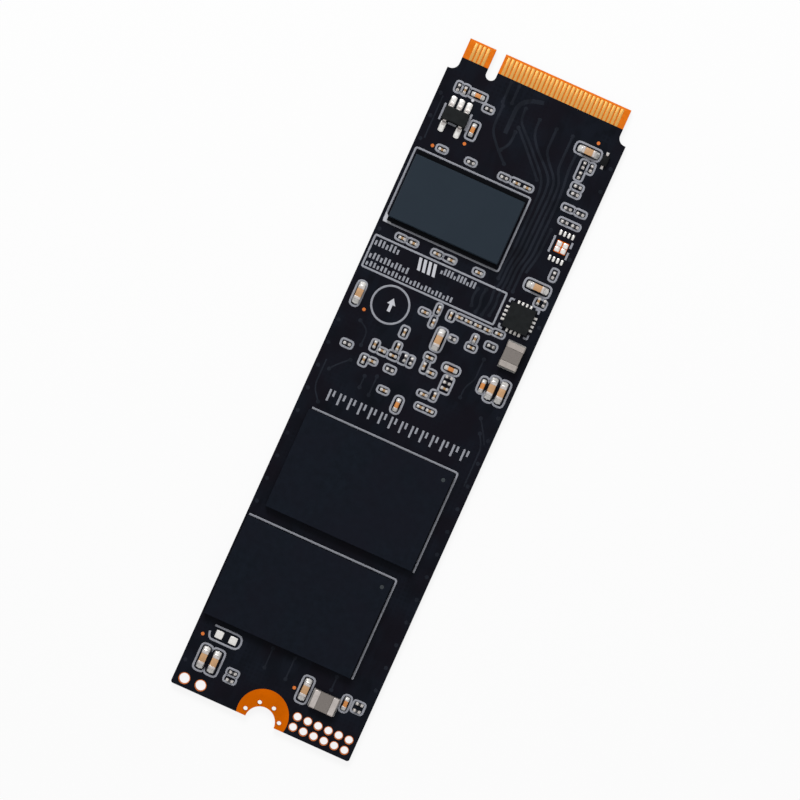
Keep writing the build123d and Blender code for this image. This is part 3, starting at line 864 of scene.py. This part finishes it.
# The same round the larger chips, with rounder corners
large_outlines = (
    (5.6, 32.9, 9.15, 34.65), (6.7, 16.5, 10.25, 18.3), (-10.4, 6.9, -8.95, 10.3), (-0.1, 5.95, 1.6, 9.15),
    (7.85, 3.15, 9.1, 6.65), (6.65, 3.7, 7.85, 6.1), (9.1, 3.15, 10.55, 6.65), (2.1, 4.35, 4.65, 5.8),
    (-1.3, -2.3, 0.2, 0.15), (-9.65, -37.75, -8.1, -34.2), (-8.1, -37.75, -6.4, -34.2),
    (2.3, -36.4, 4.05, -32.8), (7.25, -35.35, 8.7, -32.95),
)


def outlines(spans, radius, inset, walls):
    """Rounded outlines, inset from their limits but for the sides that two of them share.

    With walls, a shared side is drawn once, and without them it is left open.
    """
    paths = []
    for n, span in enumerate(spans):
        shared = [openings(span, spans, i, radius) for i in range(4)]
        gaps = [openings(span, spans[:n], i, radius) for i in range(4)] if walls else shared
        sides = [limit if near else limit + (inset if i < 2 else -inset)
                 for i, (limit, near) in enumerate(zip(span, shared))]
        x0, y0, x1, y1 = sides
        points, _ = path([(x0, y0), (x1, y0), (x1, y1), (x0, y1)], radius, True)
        if not any(gaps):
            paths.append((points, True))
            continue
        corner = len(points) // 4
        runs = [[]]
        # The lower, right, upper and left side follow the four corners
        for k, i in enumerate((1, 2, 3, 0)):
            runs[-1] += points[k * corner:(k + 1) * corner]
            backwards = i in (3, 0)
            for gap in sorted(gaps[i], reverse=backwards):
                first, second = reversed(gap) if backwards else gap
                ends = [Vector((t, sides[i]) if i in (1, 3) else (sides[i], t)) for t in (first, second)]
                runs[-1].append(ends[0])
                runs.append([ends[1]])
        runs[0] = runs.pop() + runs[0]
        for run in runs:
            kept = [run[0]] + [b for a, b in zip(run, run[1:]) if (b - a).length > 0.01]
            paths.append((kept, False))
    return paths


def openings(span, spans, side, radius):
    """The stretches of one side of an outline that lie against a neighbour."""
    low, high = ((1, 3), (0, 2))[side % 2]
    found = []
    for other in spans:
        first = max(span[low], other[low]) + radius
        second = min(span[high], other[high]) - radius
        if other[(side + 2) % 4] == span[side] and second > first:
            found.append((first, second))
    return found


def fine_lines():
    """Lines beside the packages that carry no outline, and rows of plain ticks."""
    regulator, power, blank = map(middle, ("regulator_body", "power_manager_body", "blank_centre_pad"))
    lines = []
    # Both ends of a straight line, from the middle of its part
    for part, x0, y0, x1, y1 in (
        (regulator, -1.6, 1.0, -1.6, -1.0), (regulator, 1.6, 1.0, 1.6, -1.0),
        (regulator, -0.5, -0.95, 0.5, -0.95), (blank, -1.15, -1.0, -1.15, 1.0),
        (blank, 0.98, 0.25, 0.98, 1.0), (blank, 0.98, -1.1, 0.98, -0.2),
    ):
        lines.append(path([(part.x + x0, part.y + y0), (part.x + x1, part.y + y1)]))
    reach, arm = size("power_manager_body").x / 2 + 0.25, 0.45
    for sx, sy in ((-1, 1), (1, 1), (1, -1), (-1, -1)):
        x, y = power.x + sx * reach, power.y + sy * reach
        lines.append(path([(x - sx * arm, y), (x, y), (x, y - sy * arm)], 0.1))
    pads, wide, tall = middle("spare_pads"), 1.8, 0.82
    left, right, low, high = pads.x - wide, pads.x + wide, pads.y - tall, pads.y + tall
    hook = [(left + 0.1, high), (right, high), (right, low), (left, low), (left - 0.2, pads.y)]
    lines.append(path(hook, 0.75))
    # Ticks as x and both ends
    ticks = []
    for i in range(14):
        x = -8.0 + 1.27 * i
        ticks += [(x, -2.5, -3.9), (x + 0.5, -2.5, -3.2)]
    for y, count, tall in ((14.75, 7, 0.8), (13.15, 11, 0.75), (12.2, 24, 0.6)):
        for i in range(count):
            ticks.append((-10.2 + 0.45 * i, y - tall / 2, y + tall / 2 * (1 if i % 3 else 0.4)))
    ticks += [(-2.1 + 0.4 * i, 14.4, 15.15 if i % 4 else 14.8) for i in range(11)]
    return lines + [path([(x, start), (x, stop)]) for x, start, stop in ticks]


def frame_lines():
    """The frames of the large packages, the marking box and the ring."""
    low, high = box("controller_substrate")
    x0, y0, x1, y1 = low.x - 0.34, low.y - 0.15, high.x + 0.36, high.y + 0.25
    lines = [path([(x0, y0), (x1, y0), (x1, y1), (x0, y1)], 0.25, True)]
    for letter, start in (("a", 0.25), ("b", 0.05)):
        low, high = box(f"flash_{letter}_mould")
        right, top = high.x + 0.28, high.y + 0.22
        lines.append(path([(low.x + start, top), (right, top), (right, low.y - 0.05)], 0.3))
    lines.append(path([(-10.6, 15.45), (5.6, 15.45), (5.6, 11.6), (-10.6, 11.6)], 0.15, True))
    x, y, radius, count = -5.86, 8.88, 2.15, 48
    turns = [math.tau * k / count for k in range(count)]
    lines.append(([(x + radius * math.cos(turn), y + radius * math.sin(turn)) for turn in turns], True))
    return lines


def solid_marks():
    """Filled marks: the controller's first corner, a hatched block and an arrow towards the connector."""
    low, _ = box("controller_substrate")
    x, y = low.x - 0.4, low.y - 0.2
    marks = [[(x, y), (x + 1.1, y), (x, y + 1.1)]]
    for i in range(4):
        left = -4.75 + 0.6 * i
        marks.append([(left, 13.7), (left + 0.36, 13.7), (left + 0.06, 15.15), (left - 0.3, 15.15)])
    stem, head = [(-5.96, 8.1), (-5.6, 8.1), (-5.6, 8.95)], [(-5.28, 8.95), (-5.78, 9.7), (-6.28, 8.95)]
    marks.append([*stem, *head, (-5.96, 8.95)])
    return marks


class DRIVE_OT_controller(bpy.types.Operator):
    """Make the controller's substrate and cap"""

    bl_idname = "drive.controller"
    bl_label = "Controller"

    def execute(self, context):
        radius = context.scene.drive_packages.edge_radius / MM
        refine("controller_substrate", "controller_base", "substrate", "package_substrate", radius / 2)
        refine("controller_cap", "controller_top", "cap", "controller_mould", radius * 1.4, 3)
        return {"FINISHED"}


# How far the middle of a dimple lies from its package's right and upper sides
dimple_inset = (0.95, 1.15)


class DRIVE_OT_memory(bpy.types.Operator):
    """Make the two memory packages, each with a dimple at its first corner"""

    bl_idname = "drive.memory"
    bl_label = "Flash memory"

    def execute(self, context):
        settings = context.scene.drive_packages
        radius, dimple = settings.edge_radius / MM, settings.dimple_radius / MM
        depth = settings.dimple_depth / MM
        for letter in "ab":
            node, top = f"flash_{letter}_substrate", f"flash_{letter}_mould"
            refine(node, f"memory_{letter}_base", "substrate", "package_substrate", radius / 2)
            low, high = box(top)
            centre, extent = (low + high) / 2, high - low
            spot = (extent.x / 2 - dimple_inset[0], extent.y / 2 - dimple_inset[1])
            made = copies(dimpled_box(extent, radius, spot, dimple, depth), [(centre.x, centre.y, low.z)])
            piece(f"memory_{letter}_top", made, "mould", "flash_mould", top)
            floor = button(dimple * 0.8, 0, 0.012, 0.004)
            made = copies(floor, [(centre.x + spot[0], centre.y + spot[1], high.z - depth)])
            piece(f"memory_{letter}_dimple", made, "dimple", "flash_mould")
        return {"FINISHED"}


def dimpled_box(extent, radius, spot, dimple, depth):
    """A box with rounded edges and a round dimple in its top."""
    bm = rounded_box(*extent, radius, 3)
    top = max(bm.faces, key=lambda face: face.calc_center_median().z)
    rim = top.edges[:]
    bmesh.ops.delete(bm, geom=[top], context="FACES_ONLY")
    circle = bmesh.ops.create_circle(bm, segments=32, radius=dimple)["verts"]
    bmesh.ops.translate(bm, vec=(*spot, extent.z), verts=circle)
    ring = [edge for edge in bm.edges if edge.verts[0] in circle and edge.verts[1] in circle]
    bmesh.ops.triangle_fill(bm, use_beauty=True, edges=rim + ring)
    # Steps down into the dimple: the ring's share of its last size, and of the depth
    for shrink, drop in ((0.93, 0.35), (0.8, 0.65)):
        grown = bmesh.ops.extrude_edge_only(bm, edges=ring)["geom"]
        verts = verts_of(grown)
        ring = [item for item in grown if item not in verts and all(v in verts for v in item.verts)]
        centre = Matrix.Translation((-spot[0], -spot[1], -extent.z))
        bmesh.ops.scale(bm, vec=(shrink, shrink, 1), space=centre, verts=verts)
        bmesh.ops.translate(bm, vec=(0, 0, -depth * drop), verts=verts)
    bmesh.ops.edgeloop_fill(bm, edges=ring)
    return bm


class DRIVE_OT_balls(bpy.types.Operator):
    """Make the round solder balls under the large packages"""

    bl_idname = "drive.balls"
    bl_label = "Solder balls"

    def execute(self, context):
        swell = context.scene.drive_packages.ball_swell
        for package in ("controller", "flash_a", "flash_b"):
            node = f"{package}_balls"
            extent = unit(node)
            ball = bmesh.new()
            bmesh.ops.create_uvsphere(ball, u_segments=12, v_segments=8, radius=1)
            scale = (extent.x / 2 * swell, extent.x / 2 * swell, extent.z / 2 * 1.12)
            bmesh.ops.scale(ball, vec=scale, verts=ball.verts)
            piece(f"{package}_solder_balls", copies(ball, centres(node)), "solder", "solder", node)
        return {"FINISHED"}


class DRIVE_OT_regulator(bpy.types.Operator):
    """Make the voltage regulator and its gull-wing leads"""

    bl_idname = "drive.regulator"
    bl_label = "Voltage regulator"

    def execute(self, context):
        refine("regulator_body", "regulator_case", "small_mould", "small_mould", 0.04)
        refine("regulator_leads", "regulator_legs", "tin", "tinned_lead", 0.02, 1, crease=50)
        return {"FINISHED"}


class DRIVE_OT_power_manager(bpy.types.Operator):
    """Make the leadless power manager and the diode"""

    bl_idname = "drive.power_manager"
    bl_label = "Power manager and diode"

    def execute(self, context):
        refine("power_manager_body", "power_manager_case", "small_mould", "small_mould", 0.03)
        refine("power_manager_pads", "power_manager_contacts", "tin", "tinned_lead", 0.015, 1)
        refine("diode_body", "diode_case", "dark_mould", "small_mould", 0.05)
        refine("diode_leads", "diode_legs", "tin", "tinned_lead", 0.02, 1)
        return {"FINISHED"}


class DRIVE_OT_inductors(bpy.types.Operator):
    """Make the two power inductors"""

    bl_idname = "drive.inductors"
    bl_label = "Inductors"

    def execute(self, context):
        # Inductor B's ends take inductor A's plating with a painted highlight
        for node, finish in (("inductor_a", "plate"), ("inductor_b", "bright_plate")):
            refine(f"{node}_core", f"{node}_body", "core", "inductor_core", 0.04)
            refine(f"{node}_ends", f"{node}_plating", finish, "plated_end", 0.06, 3)
        return {"FINISHED"}


class DRIVE_OT_chips(bpy.types.Operator):
    """Make the chip capacitors and resistors with their plated ends"""

    bl_idname = "drive.chips"
    bl_label = "Capacitors and resistors"

    def execute(self, context):
        radius = context.scene.drive_parts.chip_radius / MM
        # The height of a chip that has the whole of that radius; lower ones have less
        large_height = 0.8
        # The share of a plated end's length that is made
        for kind, finish, slot, share in (
            ("large_capacitor", "ceramic", "capacitor_ceramic", 1),
            ("medium_capacitor", "medium_ceramic", "capacitor_ceramic", 0.7),
            ("small_capacitor", "small_ceramic", "capacitor_ceramic", 1),
            ("small_resistor", "glaze", "resistor_glaze", 1),
        ):
            found = chips(kind)
            length, depth, height = found[0][3:]
            end = min(unit(f"{kind}_ends").xy) * share
            soft = radius * height / large_height
            step = 0.02
            body = rounded_box(length - end, depth - 2 * step, height - step, soft * 0.6, 2)
            places = [(x, y, board_top, turn) for x, y, turn, *_ in found]
            piece(f"{kind}_blocks", copies(body, places), finish, slot, f"{kind}_bodies")
            shift = (length - end) / 2
            pair = copies(rounded_box(end, depth, height, soft, 3), [(-shift,), (shift,)])
            piece(f"{kind}_caps", copies(pair, places), "tin", "plated_end", f"{kind}_ends")
        return {"FINISHED"}


class DRIVE_OT_solder(bpy.types.Operator):
    """Make the solder at the ends of the chips, leads and pads"""

    bl_idname = "drive.solder"
    bl_label = "Solder joints"

    def execute(self, context):
        settings = context.scene.drive_parts
        flare, small = settings.solder_flare / MM, settings.small_reach / MM
        made = bmesh.new()
        reaches = {
            "large_capacitor": 0.55, "medium_capacitor": 0.33,
            "small_capacitor": small, "small_resistor": small,
        }
        for kind, reach in reaches.items():
            for x, y, turn, length, depth, height in chips(kind):
                joint = fillet(depth + 2 * flare, height * 0.42, reach, reach * 0.8, roundness=0.7)
                shift = length / 2 - 0.01
                places = []
                for facing in (turn, turn + 180):
                    angle = math.radians(facing)
                    end_x, end_y = x + shift * math.cos(angle), y + shift * math.sin(angle)
                    places.append((end_x, end_y, board_top, facing))
                join(made, copies(joint, places))
        body = middle("regulator_body")
        upper_foot, lower_foot = body.y + 1.44, body.y - 1.56
        places = [((low.x + high.x) / 2, upper_foot if low.y > body.y else lower_foot, board_top)
                  for low, high in solids("regulator_leads")]
        join(made, copies(pillow(0.7, 1.32, 0.15, 0.5), places))
        for x, y, turn, width, climb, reach in lead_joints():
            join(made, fillet(width, climb, reach, 0.08), x, y, board_top, turn)
        piece("solder_fillets", made, "solder", "solder", "solder_joints", crease=60)
        return {"FINISHED"}


def wall(low, high, turn):
    """The middle of one upright wall of a solid, whose turn is 0 if it faces +X, with that turn."""
    x = {0: high.x, 180: low.x}.get(turn, (low.x + high.x) / 2)
    y = {90: high.y, -90: low.y}.get(turn, (low.y + high.y) / 2)
    return x, y, turn


def lead_joints():
    """The joints of the leaded parts: x, y and turn of the wall, width, climb and reach."""
    joints = []
    body = middle("power_manager_body")
    for low, high in solids("power_manager_pads"):
        out = (low + high) / 2 - body
        if abs(out.x) > abs(out.y):
            turn = 0 if out.x > 0 else 180
        else:
            turn = 90 if out.y > 0 else -90
        joints.append((*wall(low, high, turn), 0.33, 0.2, 0.4))
    for letter, turns in (("a", (-90, 90)), ("b", (180, 0))):
        low, high = box(f"inductor_{letter}_ends")
        width = high.x - low.x if letter == "a" else high.y - low.y
        joints += [(*wall(low, high, turn), width, 0.5, 0.18) for turn in turns]
    for low, high in solids("diode_leads"):
        up = (low.y + high.y) / 2 > middle("diode_body").y
        joints.append((*wall(low, high, 90 if up else -90), 0.38, 0.12, 0.18))
    return joints


class DRIVE_OT_bare_pads(bpy.types.Operator):
    """Make the tinned pads that carry no part"""

    bl_idname = "drive.bare_pads"
    bl_label = "Bare pads"

    def execute(self, context):
        centre = middle("blank_centre_pad")
        # How much wider and rounder the solder is than the node, and how much nearer to the centre pad
        for node, name, wider, roundness, closer in (
            ("blank_footprint_pads", "tinned_rows", 0.02, 0.6, 0),
            ("blank_centre_solder", "tinned_centre", 0.05, 0.3, 0.045),
            ("spare_pads", "tinned_pair", 0.06, 0.2, 0),
        ):
            extent = unit(node)
            places = []
            for low, high in solids(node):
                y = (low.y + high.y) / 2
                places.append(((low.x + high.x) / 2, y + math.copysign(closer, centre.y - y), board_top))
            shape = pillow(extent.x + wider, extent.y + wider, extent.z + 0.03, roundness)
            piece(name, copies(shape, places), "solder", "solder", node, crease=60)
        paint("blank_centre_pad", "copper")
        return {"FINISHED"}


# The picture's size, and the place of the board's middle in it, in pixels
picture = 800
middle_across, middle_down = 405.3, 398.1


class DRIVE_OT_stage(bpy.types.Operator):
    """Set the floor, the lights and the camera"""

    bl_idname = "drive.stage"
    bl_label = "Stage"

    def execute(self, context):
        settings = context.scene.drive_stage
        scene = context.scene
        scene.view_settings.view_transform = "Standard"
        bm = bmesh.new()
        bmesh.ops.create_grid(bm, x_segments=1, y_segments=1, size=3.0)
        bmesh.ops.translate(bm, vec=(0, 0, -0.03 * MM), verts=bm.verts)
        mesh = bpy.data.meshes.new("floor")
        bm.to_mesh(mesh)
        bm.free()
        mesh.materials.append(floor_finish())
        placed("floor", mesh)
        lamp("key_light", (-0.12, 0.24, 0.3), 0.18, settings.key_strength)
        lamp("fill_light", (0.05, -0.12, 0.55), 0.5, settings.fill_strength)
        set_world(scene, settings.surround)
        camera_data = bpy.data.cameras.new("camera")
        camera = placed("camera", camera_data)
        camera.location = (0, 0, board_top * MM + settings.distance)
        camera.rotation_euler = (0, 0, settings.lean)
        camera_data.lens = camera_data.sensor_width * settings.distance / settings.view_width
        offset = Vector((middle_across - picture / 2, middle_down - picture / 2))
        camera_data.shift_x = -offset.x / picture
        camera_data.shift_y = offset.y / picture
        camera_data.clip_start, camera_data.clip_end = 0.01, 20
        scene.camera = camera
        return {"FINISHED"}


def lamp(name, place, width, strength):
    """A soft square light that faces the drive."""
    data = bpy.data.lights.new(name, "AREA")
    data.shape = "SQUARE"
    data.size = width
    data.energy = strength
    light = placed(name, data)
    light.location = place
    light.rotation_euler = (-Vector(place)).to_track_quat("-Z", "Y").to_euler()


def floor_finish():
    """A pale floor that looks white to the camera and still takes the drive's shadow."""
    material = bpy.data.materials.new("floor")
    material.use_nodes = True
    tree = material.node_tree
    tree.nodes.clear()
    pale = new_node(tree, "ShaderNodeBsdfDiffuse", {"Color": (0.8, 0.8, 0.8, 1)})
    glow = new_node(tree, "ShaderNodeEmission", {})
    rays = new_node(tree, "ShaderNodeLightPath", {})
    share = new_node(tree, "ShaderNodeMath", {0: rays.outputs["Is Camera Ray"], 1: 0.87})
    share.operation = "MULTIPLY"
    either = {0: share.outputs[0], 1: pale.outputs[0], 2: glow.outputs[0]}
    blend = new_node(tree, "ShaderNodeMixShader", either)
    new_node(tree, "ShaderNodeOutputMaterial", {"Surface": blend.outputs[0]})
    return material


def set_world(scene, brightness):
    """A soft grey surround that looks white to the camera and in reflections."""
    world = bpy.data.worlds.new("surround")
    world.use_nodes = True
    tree = world.node_tree
    rays = new_node(tree, "ShaderNodeLightPath", {})
    seen = rays.outputs["Is Camera Ray"]
    for ray in ("Is Glossy Ray", "Is Transmission Ray"):
        either = new_node(tree, "ShaderNodeMath", {0: seen, 1: rays.outputs[ray]})
        either.operation = "MAXIMUM"
        seen = either.outputs["Value"]
    level = new_node(tree, "ShaderNodeMapRange", {"Value": seen, "To Min": brightness, "To Max": 1.0})
    background = tree.nodes["Background"]
    feed(background.inputs["Strength"], level.outputs["Result"])
    feed(background.inputs["Color"], (1, 1, 1, 1))
    scene.world = world


steps = (
    DRIVE_OT_board, DRIVE_OT_contacts, DRIVE_OT_traces, DRIVE_OT_legend, DRIVE_OT_controller,
    DRIVE_OT_memory, DRIVE_OT_balls, DRIVE_OT_regulator, DRIVE_OT_power_manager, DRIVE_OT_inductors,
    DRIVE_OT_chips, DRIVE_OT_solder, DRIVE_OT_bare_pads, DRIVE_OT_stage,
)
settings_groups = {
    "drive_board": BoardSettings, "drive_packages": PackageSettings, "drive_parts": PartSettings,
    "drive_stage": StageSettings,
}


class DRIVE_PT_panel(bpy.types.Panel):
    """Lists the steps that dress the drive"""

    bl_idname = "DRIVE_PT_panel"
    bl_label = "Solid-state drive"
    bl_space_type = "VIEW_3D"
    bl_region_type = "UI"
    bl_category = "Drive"

    def draw(self, context):
        for step in steps:
            self.layout.operator(step.bl_idname)


def register():
    for name, group in settings_groups.items():
        bpy.utils.register_class(group)
        setattr(bpy.types.Scene, name, bpy.props.PointerProperty(type=group))
    for cls in (*steps, DRIVE_PT_panel):
        bpy.utils.register_class(cls)


def unregister():
    for cls in (DRIVE_PT_panel, *reversed(steps)):
        bpy.utils.unregister_class(cls)
    for name, group in settings_groups.items():
        delattr(bpy.types.Scene, name)
        bpy.utils.unregister_class(group)


def main():
    """Dresses the drive."""
    register()
    make_finishes(bpy.context)
    bpy.ops.drive.board()
    bpy.ops.drive.contacts()
    bpy.ops.drive.traces()
    bpy.ops.drive.legend()
    bpy.ops.drive.controller()
    bpy.ops.drive.memory()
    bpy.ops.drive.balls()
    bpy.ops.drive.regulator()
    bpy.ops.drive.power_manager()
    bpy.ops.drive.inductors()
    bpy.ops.drive.chips()
    bpy.ops.drive.solder()
    bpy.ops.drive.bare_pads()
    bpy.ops.drive.stage()


if __name__ == "__main__":
    main()
